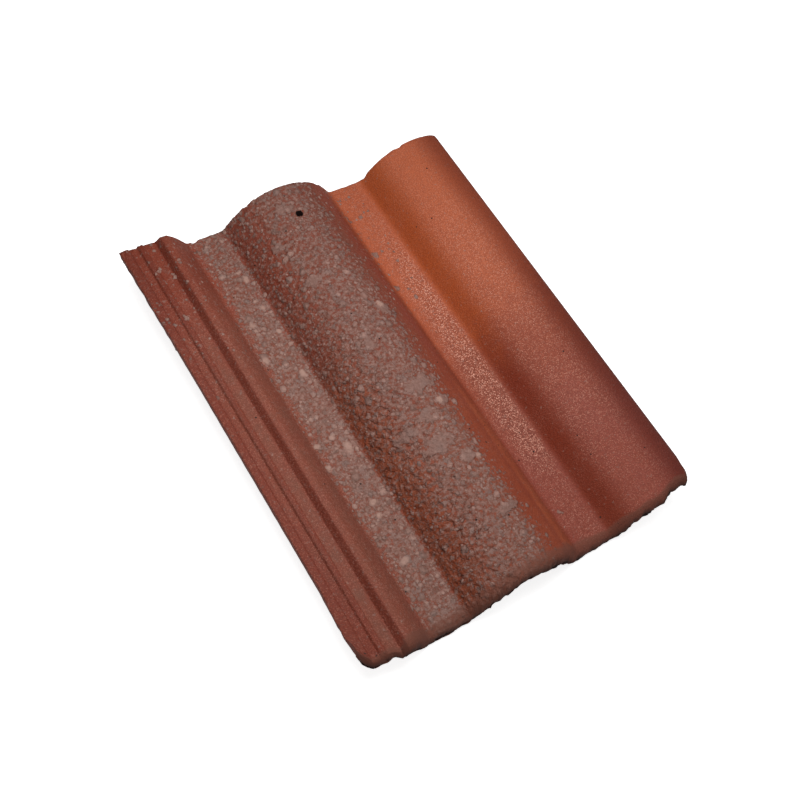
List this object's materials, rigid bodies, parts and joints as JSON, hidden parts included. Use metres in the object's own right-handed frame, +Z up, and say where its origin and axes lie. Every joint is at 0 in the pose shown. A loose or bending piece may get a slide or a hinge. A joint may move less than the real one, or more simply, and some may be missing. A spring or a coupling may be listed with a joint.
{
  "type": "interlocking roof tile",
  "caption": "Interlocking concrete roof tile with rolls and flat pans, ribbed side locks, a nail hole, hanging nibs and a rounded tail edge.",
  "frame": {"origin": "middle of the bounding box, on the level floor that the tile lies on", "axes": "+X across the tile from the ribbed edge to the lip edge, +Y from the tail up to the head, +Z up"},
  "size_m": [0.332, 0.4208, 0.0622],
  "materials": {
    "concrete": "rough, through-coloured and sanded with grey and red slurry"
  },
  "bodies": {
    "root": {"roof_tile": "concrete"}
  },
  "joints": []
}
